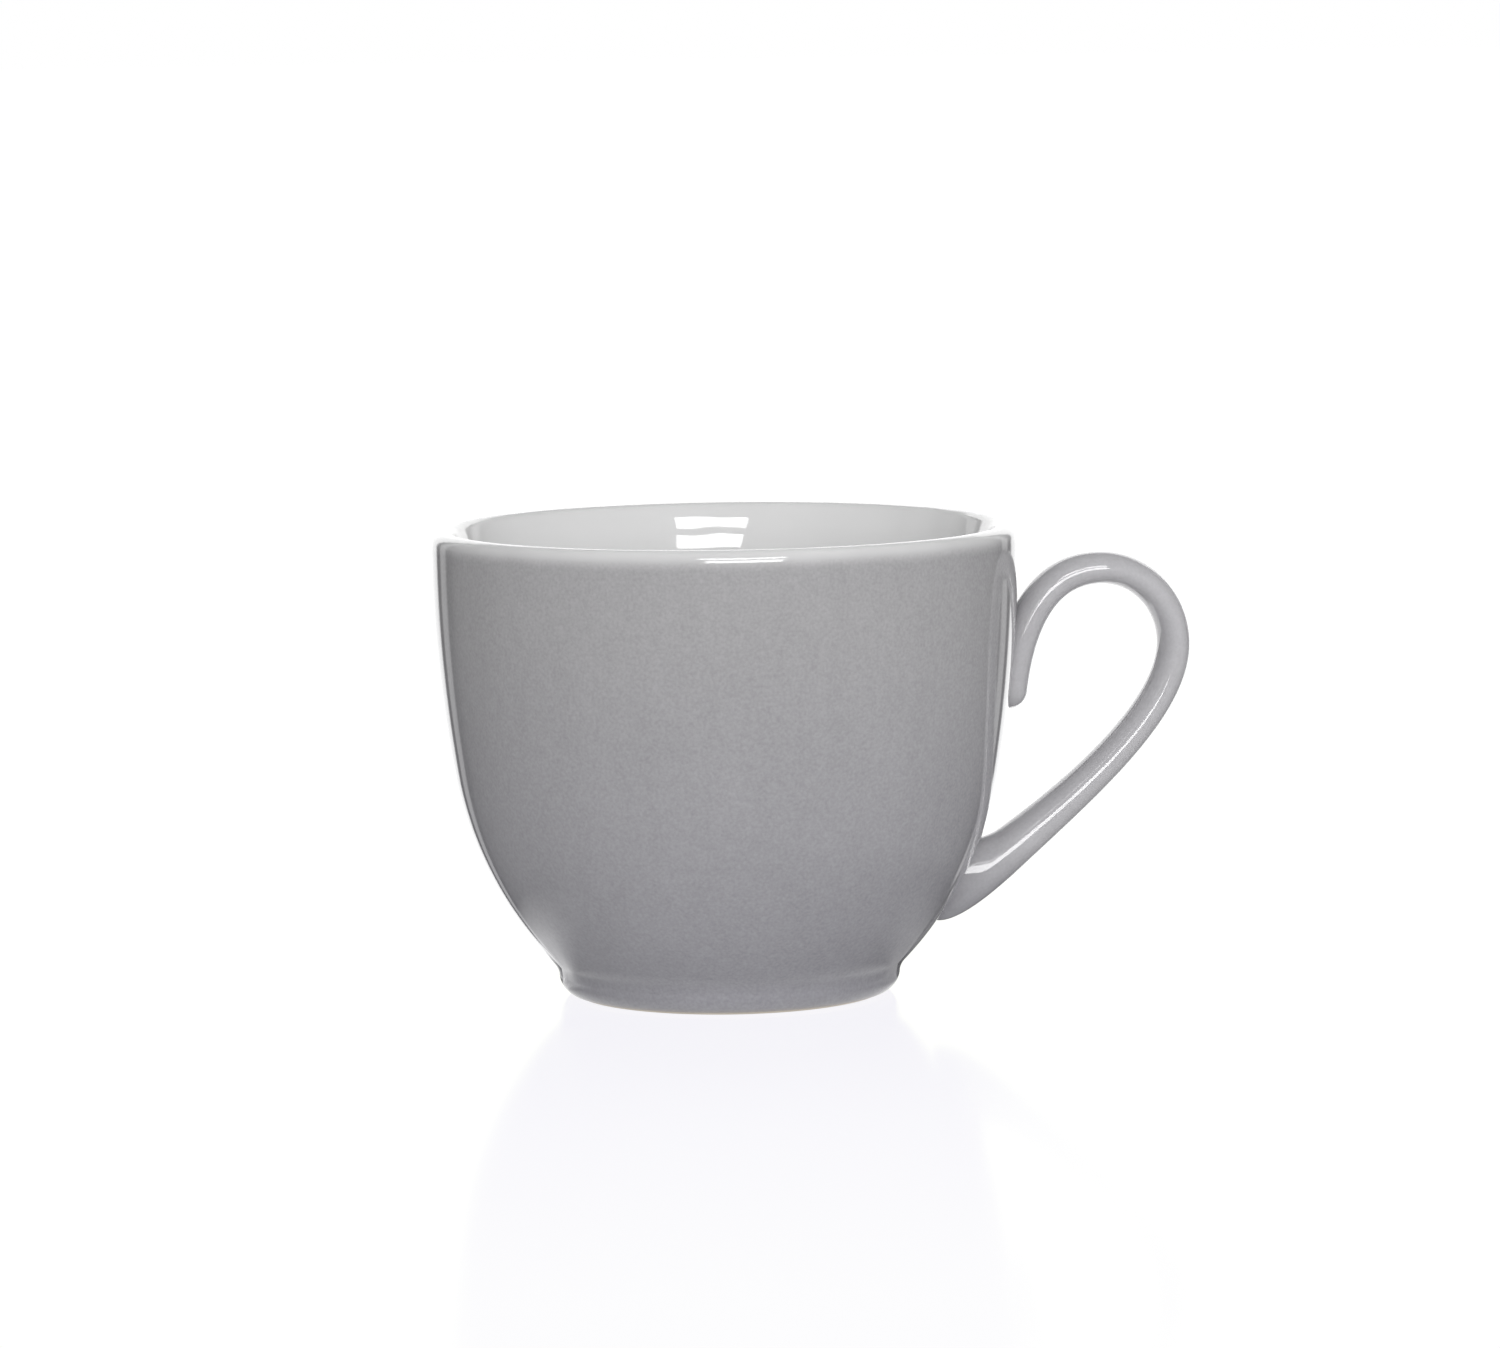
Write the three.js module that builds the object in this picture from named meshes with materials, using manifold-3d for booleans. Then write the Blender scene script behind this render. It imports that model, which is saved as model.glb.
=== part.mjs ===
// Double espresso cup: a porcelain bowl and a cast handle joined with slip, glazed white inside and
// over the lip and grey outside. Millimetres, +Z up, handle towards +X, standing on its foot ring.

import * as THREE from 'three';
import { ParametricGeometry } from 'three/addons/geometries/ParametricGeometry.js';
import { mergeVertices } from 'three/addons/utils/BufferGeometryUtils.js';
import Module from 'manifold-3d';

// Bowl outside, over the glaze.
const RIM_DIAMETER = 70;
const CUP_HEIGHT = 56;
const LIP_THICKNESS = 2.9;
const UPPER_CURVE = 164; // profile radius of the upper wall, upright at the lip
const CURVE_JOIN_HEIGHT = 27; // where the upper curve runs into the tighter lower curve
const WAIST_FILLET = 3.2; // hollow between the wall and the foot
const FOOT_DIAMETER = 40.8;
const FOOT_EDGE_HEIGHT = 2.55; // height of the foot's rounded edge
const FOOT_LEAN = THREE.MathUtils.degToRad(13); // outward lean of the foot where the hollow starts

// Foot ring and underside.
const RING_DIAMETER = 35.6; // outside of the flat ring that stands on the table
const RING_WIDTH = 1.8;
const RECESS_DEPTH = 1.8;
const RECESS_SLOPE = 1.2; // how far the ring's inner face slopes inwards

// Bowl inside, over the glaze.
const FLOOR_THICKNESS = 4.2;
const FLOOR_FLAT_DIAMETER = 10;
const FLARE_LEAN = THREE.MathUtils.degToRad(29); // outward lean of the inside wall at the lip
const FLARE_CURVE = 12; // profile radius over which that lean eases off below the lip
const INSIDE_LEAN = THREE.MathUtils.degToRad(2.5); // lean of the inside wall under the flare
const INSIDE_CURVE = 200; // profile radius of the inside wall under the flare

// Glaze coats.
const GLAZE = 0.35;
const BOND = 0.05; // play between a coat and the porcelain under it
const COLOUR_LINE_DROP = 1.3; // from the lip's crown down to where white meets grey
const COLOUR_LINE_GAP = 0.1;
const BARE_EDGE_HEIGHT = 0.7; // wiped edge of the foot under the grey coat
const UNDERSIDE_MARGIN = 0.8; // bare strip round the underside coat

// Handle, over the glaze. Heights and reaches are those of its centreline.
const TAIL_TIP_DROP = 22.9; // below the rim
const TAIL_OFFSET = 0.3; // centreline outside the wall along the tail
const TAIL_RUN = 8.8; // how long the tail follows the wall
const LOOP_TOP_DROP = 6.2;
const LOOP_TOP_REACH = 10.4; // beyond the rim
const LOOP_TOP_RUN = 7.8; // how long the strap stays level before the top
const LOOP_REACH = 19.3; // beyond the rim
const LOOP_REACH_DROP = 15.4;
const LOOP_SIDE_RUN = 11.6; // how long the strap stays upright below its widest point
const LOWER_ROOT_HEIGHT = 8.6;
const LOWER_ROOT_ANGLE = THREE.MathUtils.degToRad(46); // slope at which the strap meets the wall
const LOWER_ROOT_RUN = 8.5; // how long the strap keeps that slope
const LOWER_ROOT_DEPTH = 0.8; // how far its toe runs on inside the wall
const TAIL_THICKNESS = 4.6;
const TAIL_WIDTH = 6.4;
const TAIL_ROUNDING = 2.4;
const STRAP_THICKNESS = 3.9;
const STRAP_WIDTH = 6.8;
const ROOT_THICKNESS = 7.3;
const ROOT_WIDTH = 8.4;
const ROOT_ROUNDING = 12; // length over which the toe rounds off
const TAIL_TAPER = 0.7; // below 1 the tail's size soon gives way to the strap's
const ROOT_FLARE = 3; // above 1 the strap swells only near the lower root

// Slip joints between the handle and the bowl.
const SLIP = 0.4;
const ROOT_GAP = 0.25; // play on each face of a slip pad and round it

// Fineness of the facets.
const TURN_STEPS = 40;
const STRAP_STEPS = 42;
const SECTION_STEPS = 12;
const TIP_CROWDING = 1.25; // draws the strap's rings together towards the tail's tip
const MERGE_DISTANCE = 1e-4;
const ROUND_CORNER = 0.5523; // handle length of a quarter round as a cubic curve

const wasm = await Module();
wasm.setup();

const PORCELAIN = { color: 0xece6dc, roughness: 0.65, metalness: 0 };
const SLIP_CLAY = { color: 0xe4ddd0, roughness: 0.8, metalness: 0 };
const WHITE_GLAZE = { color: 0xf3f3f1, roughness: 0.08, metalness: 0 };
const GREY_GLAZE = { color: 0x9d9c9f, roughness: 0.08, metalness: 0 };

// Point at an angle and distance from a centre, in the profile plane (x radius, y height).
function polar(centre, distance, angle) {
  return new THREE.Vector2(centre.x + distance * Math.cos(angle), centre.y + distance * Math.sin(angle));
}

function arc(centre, radius, from, to, steps) {
  const points = [];
  for (let i = 0; i <= steps; i++) {
    points.push(polar(centre, radius, THREE.MathUtils.lerp(from, to, i / steps)));
  }
  return points;
}

// Outside profile: foot edge, hollow, lower curve and upper curve run into each other without a kink.
const rimRadius = RIM_DIAMETER / 2;
const lipRadius = LIP_THICKNESS / 2;
const lipCentre = new THREE.Vector2(rimRadius - lipRadius, CUP_HEIGHT - lipRadius);
const upperCentre = new THREE.Vector2(rimRadius - UPPER_CURVE, lipCentre.y);
const joinAngle = -Math.asin((lipCentre.y - CURVE_JOIN_HEIGHT) / UPPER_CURVE);
const joinPoint = polar(upperCentre, UPPER_CURVE, joinAngle);
const footTop = new THREE.Vector2(FOOT_DIAMETER / 2, FOOT_EDGE_HEIGHT);
const waistCentre = polar(footTop, WAIST_FILLET, -FOOT_LEAN);
const lowerCurve = lowerCurveRadius();
const lowerCentre = polar(joinPoint, -lowerCurve, joinAngle);
const waistAngle = waistCentre.clone().sub(lowerCentre).angle() - 2 * Math.PI;

// Radius that touches the upper curve at the join and the hollow's round.
function lowerCurveRadius() {
  const between = joinPoint.clone().sub(waistCentre);
  const inwards = polar(new THREE.Vector2(), -1, joinAngle);
  const spare = between.lengthSq() - WAIST_FILLET ** 2;
  return spare / (2 * (WAIST_FILLET - between.dot(inwards)));
}

// Outside of the glazed wall at a height above the hollow.
function wallRadius(height) {
  const [centre, radius] = height > CURVE_JOIN_HEIGHT ? [upperCentre, UPPER_CURVE] : [lowerCentre, lowerCurve];
  return centre.x + Math.sqrt(radius ** 2 - (height - centre.y) ** 2);
}

// Quarter round of the foot's edge from a height up, set in from the glazed outside by inset.
function footEdge(inset, fromHeight, steps) {
  const top = polar(footTop, -inset, -FOOT_LEAN);
  const ringRadius = RING_DIAMETER / 2;
  const start = Math.acos(1 - fromHeight / top.y);
  const points = [];
  for (let i = 0; i <= steps; i++) {
    const turn = THREE.MathUtils.lerp(start, Math.PI / 2, i / steps);
    const radius = THREE.MathUtils.lerp(ringRadius, top.x, Math.sin(turn));
    points.push(new THREE.Vector2(radius, top.y * (1 - Math.cos(turn))));
  }
  return points;
}

// Wall from the hollow to the lip's outermost point.
function outsideWall(inset) {
  const hollow = arc(waistCentre, WAIST_FILLET + inset, Math.PI - FOOT_LEAN, waistAngle + Math.PI, 3);
  const lower = arc(lowerCentre, lowerCurve - inset, waistAngle, joinAngle, 7);
  const upper = arc(upperCentre, UPPER_CURVE - inset, joinAngle, 0, 4);
  return [...hollow.slice(1, -1), ...lower, ...upper.slice(1)];
}

function lip(inset, from, to, steps) {
  return arc(lipCentre, lipRadius - inset, from, to, steps);
}

// Inside profile: a flare under the lip and a gently leaning wall that turns into a round bowl with a flat middle.
const lipInnerAngle = Math.PI - FLARE_LEAN;
const flareCentre = polar(lipCentre, lipRadius - FLARE_CURVE, lipInnerAngle);
const insideCentre = polar(flareCentre, FLARE_CURVE + INSIDE_CURVE, Math.PI - INSIDE_LEAN);
const floorHeight = RECESS_DEPTH + FLOOR_THICKNESS;
const floorCurve = floorCurveRadius();
const floorCentre = new THREE.Vector2(FLOOR_FLAT_DIAMETER / 2, floorHeight + floorCurve);
const floorAngle = -Math.asin((insideCentre.y - floorCentre.y) / (INSIDE_CURVE - floorCurve));

// Radius that touches the inside wall and lies flat at the rim of the floor's middle.
function floorCurveRadius() {
  const across = FLOOR_FLAT_DIAMETER / 2 - insideCentre.x;
  const down = floorHeight - insideCentre.y;
  return (INSIDE_CURVE ** 2 - across ** 2 - down ** 2) / (2 * (down + INSIDE_CURVE));
}

// Wall from the lip down to the middle of the floor, set into the porcelain by inset.
function insideWall(inset) {
  const flare = arc(flareCentre, FLARE_CURVE - inset, lipInnerAngle, Math.PI - INSIDE_LEAN, 2);
  const upper = arc(insideCentre, INSIDE_CURVE + inset, -INSIDE_LEAN, floorAngle, 3);
  const lower = arc(floorCentre, floorCurve + inset, floorAngle, -Math.PI / 2, 8);
  return [...flare.slice(1), ...upper.slice(1), ...lower.slice(1), new THREE.Vector2(0, floorHeight - inset)];
}

// Solid of revolution about the cup's axis.
function turned(profile) {
  return new THREE.LatheGeometry(profile, TURN_STEPS).rotateX(Math.PI / 2);
}

function closedLoop(profile) {
  return [...profile, profile[0]];
}

// Closed solid from a geometry whose seams and poles still have doubled vertices.
function toSolid(geometry) {
  const bare = geometry.clone();
  bare.deleteAttribute('normal');
  bare.deleteAttribute('uv');
  const merged = mergeVertices(bare, MERGE_DISTANCE);
  const corners = merged.index.array;
  const faces = [];
  for (let i = 0; i < corners.length; i += 3) {
    const [a, b, c] = corners.slice(i, i + 3);
    if (a !== b && b !== c && c !== a) {
      faces.push(a, b, c);
    }
  }
  const vertProperties = new Float32Array(merged.attributes.position.array);
  return new wasm.Manifold(new wasm.Mesh({ numProp: 3, vertProperties, triVerts: new Uint32Array(faces) }));
}

function toGeometry(solid) {
  const { vertProperties, triVerts } = solid.getMesh();
  const geometry = new THREE.BufferGeometry();
  geometry.setAttribute('position', new THREE.BufferAttribute(vertProperties, 3));
  geometry.setIndex(new THREE.BufferAttribute(triVerts, 1));
  geometry.computeVertexNormals();
  return geometry;
}

// Everything inside the glazed wall, set in by inset, as one full solid without the hollow.
function fullCup(inset) {
  const wall = outsideWall(inset);
  const profile = [
    new THREE.Vector2(0, 0),
    ...footEdge(inset, 0, 4),
    ...wall,
    new THREE.Vector2(0, wall.at(-1).y),
  ];
  return toSolid(turned(profile));
}

function bowlGeometry() {
  const ringInner = RING_DIAMETER / 2 - RING_WIDTH;
  return turned([
    new THREE.Vector2(0, RECESS_DEPTH),
    new THREE.Vector2(ringInner - RECESS_SLOPE, RECESS_DEPTH),
    new THREE.Vector2(ringInner, 0),
    ...footEdge(GLAZE, 0, 4),
    ...outsideWall(GLAZE),
    ...lip(GLAZE, 0, lipInnerAngle, 6).slice(1),
    ...insideWall(GLAZE),
  ]);
}

// Angle on the lip's round at a drop below its crown.
function lipAngle(drop) {
  return Math.asin(1 - drop / lipRadius);
}

function insideGlazeGeometry() {
  const edge = lipAngle(COLOUR_LINE_DROP - COLOUR_LINE_GAP);
  const backing = GLAZE - BOND;
  const outwards = [...lip(backing, edge, lipInnerAngle, 6), ...insideWall(backing)].reverse();
  return turned([...outwards, ...lip(0, edge, lipInnerAngle, 6), ...insideWall(0)]);
}

// Grey coat of the wall, from the wiped foot edge to the colour line.
function outsideCoat() {
  const edge = lipAngle(COLOUR_LINE_DROP);
  const side = (inset) => [
    ...footEdge(inset, BARE_EDGE_HEIGHT, 2),
    ...outsideWall(inset),
    ...lip(inset, 0, edge, 1).slice(1),
  ];
  return toSolid(turned(closedLoop([...side(0), ...side(GLAZE - BOND).reverse()])));
}

function undersideGlazeGeometry() {
  const radius = RING_DIAMETER / 2 - RING_WIDTH - RECESS_SLOPE - UNDERSIDE_MARGIN;
  const top = RECESS_DEPTH - BOND;
  const bottom = RECESS_DEPTH - GLAZE;
  return turned([
    new THREE.Vector2(0, bottom),
    new THREE.Vector2(radius - GLAZE, bottom),
    new THREE.Vector2(radius, top),
    new THREE.Vector2(0, top),
  ]);
}

// Handle centreline in the XZ plane: tail up the wall, over the top, round the side, down to the lower root.
const pathPoint = (x, z) => new THREE.Vector3(x, 0, z);
const tailHeight = CUP_HEIGHT - TAIL_TIP_DROP;
const tailTip = pathPoint(wallRadius(tailHeight) + TAIL_OFFSET, tailHeight);
const loopTop = pathPoint(rimRadius + LOOP_TOP_REACH, CUP_HEIGHT - LOOP_TOP_DROP);
const loopSide = pathPoint(rimRadius + LOOP_REACH, CUP_HEIGHT - LOOP_REACH_DROP);
const lowerRoot = pathPoint(wallRadius(LOWER_ROOT_HEIGHT), LOWER_ROOT_HEIGHT);
const rootDirection = pathPoint(Math.cos(LOWER_ROOT_ANGLE), Math.sin(LOWER_ROOT_ANGLE));
const shoulder = new THREE.CubicBezierCurve3(
  tailTip,
  pathPoint(wallRadius(tailHeight + TAIL_RUN) + TAIL_OFFSET, tailHeight + TAIL_RUN),
  pathPoint(loopTop.x - LOOP_TOP_RUN, loopTop.z),
  loopTop,
);
const bend = new THREE.CubicBezierCurve3(
  loopTop,
  pathPoint(THREE.MathUtils.lerp(loopTop.x, loopSide.x, ROUND_CORNER), loopTop.z),
  pathPoint(loopSide.x, THREE.MathUtils.lerp(loopSide.z, loopTop.z, ROUND_CORNER)),
  loopSide,
);
const descent = new THREE.CubicBezierCurve3(
  loopSide,
  pathPoint(loopSide.x, loopSide.z - LOOP_SIDE_RUN),
  lowerRoot.clone().addScaledVector(rootDirection, LOWER_ROOT_RUN),
  lowerRoot,
);
const centreline = new THREE.CurvePath();
centreline.curves.push(shoulder, bend, descent);
const strapLength = centreline.getLength();
const bendStart = shoulder.getLength();
const descentStart = bendStart + bend.getLength();
const toeTip = strapLength + LOWER_ROOT_DEPTH;

// Centreline point and direction at a distance from the tail's tip, straight on past both ends.
function centreAt(distance) {
  const inside = THREE.MathUtils.clamp(distance, 0, strapLength);
  const point = centreline.getPointAt(inside / strapLength);
  const direction = centreline.getTangentAt(inside / strapLength);
  return { point: point.addScaledVector(direction, distance - inside), direction };
}

// Size across the section that changes from the tail over the strap to the lower root.
function alongStrap(distance, tail, strap, root) {
  const fromTail = THREE.MathUtils.clamp(distance / bendStart, 0, 1);
  const toRoot = THREE.MathUtils.clamp((distance - descentStart) / (strapLength - descentStart), 0, 1);
  return THREE.MathUtils.lerp(tail, strap, fromTail ** TAIL_TAPER) + (root - strap) * toRoot ** ROOT_FLARE;
}

// Fullness of a rounded end at a distance from its tip.
function roundedEnd(distance, length) {
  const reach = THREE.MathUtils.clamp(distance / length, 0, 1);
  return Math.sqrt(1 - (1 - reach) ** 2);
}

// Oval strap along the centreline with both ends rounded off, set in all over by inset.
function strap(inset) {
  const surface = (around, along, target) => {
    const distance = toeTip * along ** TIP_CROWDING;
    const { point, direction } = centreAt(distance);
    const tail = roundedEnd(distance - inset, TAIL_ROUNDING - inset);
    const toe = roundedEnd(toeTip - distance - inset, ROOT_ROUNDING - inset);
    const halfThickness = alongStrap(distance, TAIL_THICKNESS, STRAP_THICKNESS, ROOT_THICKNESS) / 2;
    const halfWidth = alongStrap(distance, TAIL_WIDTH, STRAP_WIDTH, ROOT_WIDTH) / 2;
    const thickness = (halfThickness - inset) * tail * toe;
    const width = (halfWidth - inset) * tail * toe;
    const turn = 2 * Math.PI * around;
    target.set(direction.z, 0, -direction.x).multiplyScalar(thickness * Math.cos(turn));
    target.y = width * Math.sin(turn);
    target.add(point);
  };
  return toSolid(new ParametricGeometry(surface, SECTION_STEPS, STRAP_STEPS));
}

// Part of a solid above or below the height half-way between the handle's two roots.
function halfOf(solid, isUpper) {
  const middle = (tailHeight + LOWER_ROOT_HEIGHT) / 2;
  const size = 2 * (rimRadius + CUP_HEIGHT);
  const box = new THREE.BoxGeometry(size, size, size);
  box.translate(0, 0, middle + (isUpper ? size : -size) / 2);
  return solid.intersect(toSolid(box));
}

const slipInset = GLAZE - ROOT_GAP;
const handleInset = slipInset - SLIP - ROOT_GAP;
const porcelainStrap = strap(GLAZE);
const slipPads = porcelainStrap.intersect(fullCup(slipInset - SLIP)).subtract(fullCup(slipInset));

function handleGeometry() {
  return toGeometry(porcelainStrap.subtract(fullCup(handleInset)));
}

function handleGlazeGeometry() {
  const sleeve = strap(0).subtract(strap(GLAZE - BOND));
  return toGeometry(sleeve.subtract(fullCup(-ROOT_GAP)));
}

function outsideGlazeGeometry() {
  return toGeometry(outsideCoat().subtract(strap(slipInset)));
}

function piece(name, geometry, finish) {
  const mesh = new THREE.Mesh(geometry, new THREE.MeshStandardMaterial(finish));
  mesh.name = name;
  return mesh;
}

const cup = new THREE.Group();
cup.add(
  piece('bowl', bowlGeometry(), PORCELAIN),
  piece('handle', handleGeometry(), PORCELAIN),
  piece('upper_slip_joint', toGeometry(halfOf(slipPads, true)), SLIP_CLAY),
  piece('lower_slip_joint', toGeometry(halfOf(slipPads, false)), SLIP_CLAY),
  piece('inside_glaze', insideGlazeGeometry(), WHITE_GLAZE),
  piece('outside_glaze', outsideGlazeGeometry(), GREY_GLAZE),
  piece('handle_glaze', handleGlazeGeometry(), GREY_GLAZE),
  piece('underside_glaze', undersideGlazeGeometry(), WHITE_GLAZE),
);

// The middle of the footprint's box stands on the origin.
cup.position.x = -new THREE.Box3().setFromObject(cup).getCenter(new THREE.Vector3()).x;

const espressoCup = new THREE.Group();
espressoCup.add(cup);

export default espressoCup;
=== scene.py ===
"""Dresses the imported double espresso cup: smooth porcelain, white and grey glaze, and a plain studio."""

import math

import bmesh
import bpy
from bpy.props import FloatProperty, FloatVectorProperty, PointerProperty
from mathutils import Matrix, Vector
from mathutils.geometry import interpolate_bezier


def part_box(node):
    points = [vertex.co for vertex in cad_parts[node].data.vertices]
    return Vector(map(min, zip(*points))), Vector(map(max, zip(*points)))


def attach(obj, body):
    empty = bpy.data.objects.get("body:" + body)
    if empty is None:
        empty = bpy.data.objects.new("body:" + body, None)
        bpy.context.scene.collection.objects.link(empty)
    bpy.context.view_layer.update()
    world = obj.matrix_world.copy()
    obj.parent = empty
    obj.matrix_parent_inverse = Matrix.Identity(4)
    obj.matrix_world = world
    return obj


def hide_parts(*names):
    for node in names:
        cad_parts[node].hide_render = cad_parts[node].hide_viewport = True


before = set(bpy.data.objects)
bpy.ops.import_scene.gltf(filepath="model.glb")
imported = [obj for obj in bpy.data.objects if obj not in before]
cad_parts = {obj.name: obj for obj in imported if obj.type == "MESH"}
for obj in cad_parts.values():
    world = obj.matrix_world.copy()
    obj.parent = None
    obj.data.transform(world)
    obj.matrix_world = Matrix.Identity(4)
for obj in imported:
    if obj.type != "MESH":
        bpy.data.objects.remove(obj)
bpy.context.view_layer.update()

bl_info = {
    "name": "Double espresso cup",
    "version": (1, 0, 0),
    "blender": (4, 5, 0),
    "location": "View3D > Sidebar > Cup",
    "description": "Models a glazed porcelain cup on its CAD frame and sets it in a plain studio",
    "category": "Object",
}

MM = 0.001
BODY = "root"

# The white coat goes all round the bowl, so the middle of its box is the bowl's axis.
AXIS = sum(corner.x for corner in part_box("inside_glaze")) / 2

# How finely the pieces are made: rings, corners and steps.
TURN_STEPS = 360
SECTION_POINTS = 96
STRAP_STATIONS = 170
TIP_RINGS = 10
PATH_POINTS = 400
ROUNDING_SEGMENTS = 5
SEEN = 8  # steps in each part of a profile that is seen
HIDDEN = 3  # steps in each part that another piece covers
ROUND_CORNER = 0.5523  # handle length of a quarter round as a cubic curve
MERGE_DISTANCE = 1e-6
SMOOTH_ANGLE = math.radians(40)

# Corners of the handle that take up slip, and the height under which they do.
FILLET_GROUP = "slip_fillet"
NOTCH_GROUP = "notch_side"
NOTCH_TOP = 22 * MM

# The grey thins to white over the lip between these heights against the lip's crown.
FADE_BOTTOM = -2.5 * MM
FADE_TOP = 0.35 * MM
LINE_WOBBLE = 0.4 * MM
LINE_WANDER = 7  # millimetres from one wobble of that line to the next
LIP_FADE = 0.3 * MM  # how far outside the crown the white coat starts to give way

# Patterns of the grey glaze: size of a feature in millimetres and how far it lightens or darkens the grey.
CLOUD_SIZE = 14
CLOUD_SHADE = 0.1
RUN_SIZE = 3
RUN_SHADE = 0.08
RUN_STRETCH = (1, 1, 0.06)  # draws the runs out upright
MOTTLE_SIZE = 1.3
MOTTLE_SHADE = 0.1
GRAIN_SIZE = 0.36
BOWL_GRAIN = 0.4
HANDLE_GRAIN = 0.2

# Heights between which the darker, bluer low grey gives way to the colour of the bowl or the handle.
BOWL_DARKER_BELOW = (4 * MM, 48 * MM)
# On the handle the darker grey towards the lower root is painted shade.
HANDLE_PAINTED_ROOT_SHADE = (7 * MM, 17 * MM)

# Iron specks: millimetres apart, dark core and soft edge as shares of that, and share of places without one.
SPECK_SPACING = 9
SPECK_CORE = 0.016
SPECK_EDGE = 0.03
SPECK_LOT = 0.7

# Heights over which the wiped grey lets the clay show, and how much.
WIPED = (0.3 * MM, 0.9 * MM)
WIPED_SHARE = 0.6

# Waves of the fired glazes, as width in millimetres and depth, and the haze of both.
GREY_WAVE = (8, 0.02 * MM)
WHITE_WAVE = (6, 0.14 * MM)
GLAZE_HAZE = (0.03, 0.06)
GLAZE_IOR = 1.52
WHITE_CLOUD_SIZE = 11
WHITE_CLOUD_SHADE = (0.97, 1.03)

# Unglazed clay, with the sizes of its clouds and grit in millimetres.
CLAY_CLOUD_SIZE = 4
CLAY_CLOUD_SHADE = (0.9, 1.08)
CLAY_ROUGHNESS = (0.55, 0.8)
CLAY_IOR = 1.5
GRIT_DEPTH = 0.01 * MM
PORCELAIN_GRIT = 0.25
SLIP_GRIT = 0.15

# Lower and upper edge of each softbox pane in degrees above level, and the height that both face.
PANES = (("lower_pane", 3, 23.6), ("upper_pane", 32.5, 45.4))
PANE_AIM = 50 * MM

# Width of the camera's picture in millimetres, and its nearest and farthest sight and the table in metres.
SENSOR_WIDTH = 36
CLIP_START = 0.05
CLIP_END = 50
TABLE_SIZE = 20

# The polished table: share of each colour that it mirrors towards the camera, its haze, and how its mirror
# image and the cup's soft shadow fade with the distance from the bowl's axis.
MIRROR = (0.1, 0.11, 0.05)
TABLE_HAZE = 0.12
POLISH = (30 * MM, 180 * MM)
POLISH_FAR = 0.3
SHADOW = (30 * MM, 90 * MM)
SHADOW_TONE = 0.95

# Zones of the table as the glaze mirrors them, by the distance from the bowl's axis: the pale strip under
# the foot, the contact shadow, the pale ring beside the foot, and the end of the handle's shade.
UNDER_FOOT = (20 * MM, 23 * MM)
CONTACT = (23.5 * MM, 29 * MM)
CONTACT_GLOW = 0.08
PALE_RING = (29 * MM, 41 * MM)
SHADE_END = (46 * MM, 54 * MM)

# The handle shades the table to the right of the axis, the sweep more than the pale ring.
HANDLE_SIDE = (8 * MM, 18 * MM)
SHADED_SWEEP = 0.1
SHADED_RING = 0.4

# Angles off the view's far side, seen from the flank of a round of one of these radii: where the pale ring
# starts and ends, and where the contact shadow no longer counts.
FOOT_RADIUS = 17 * MM
WALL_RADIUS = 22.4 * MM
RING_START = (math.radians(48), math.radians(51))
RING_END = (math.radians(110), math.radians(150))
RING_FRONT = 0.1
FRONT = (math.radians(60), math.radians(90))

# Heights of a reflection's direction between which the lit wall of the room ends, and what is left above.
WALL_TOP = (0.45, 0.55)
WALL_TOP_GLOW = 0.1

# What a reflection finds at each angle off the view's far side, in degrees: the lit sweep behind the
# cup, the dark and pale edges of its stand, and the dim room towards the camera.
REFLECTED = (
    (0, 1.0),
    (28, 1.0),
    (30.5, 0.02),
    (34, 0.02),
    (35.5, 0.38),
    (41, 0.38),
    (43, 0.0),
    (47, 0.0),
    (50, 0.05),
    (90, 0.12),
    (180, 0.08),
)


def linear(code):
    """Linear colour of an sRGB hex value."""
    parts = [int(code[i : i + 2], 16) / 255 for i in (0, 2, 4)]
    return tuple(p / 12.92 if p <= 0.04045 else ((p + 0.055) / 1.055) ** 2.4 for p in parts)


def length(name, millimetres, description):
    """Length property with its default in millimetres."""
    return FloatProperty(
        name=name, description=description, default=millimetres * MM, unit="LENGTH", precision=5
    )


def angle(name, degrees, description):
    """Angle property with its default in degrees."""
    return FloatProperty(name=name, description=description, default=math.radians(degrees), subtype="ANGLE")


def factor(name, default, description):
    """Plain number property."""
    return FloatProperty(name=name, description=description, default=default)


def focal_length(name, millimetres, description):
    """Focal length property in millimetres, as lenses are marked."""
    return FloatProperty(name=name, description=description, default=millimetres, unit="CAMERA")


def colour(name, code, description):
    """Colour property with its default as an sRGB hex value."""
    return FloatVectorProperty(
        name=name, description=description, default=linear(code), size=3, min=0, max=1, subtype="COLOR"
    )


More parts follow.
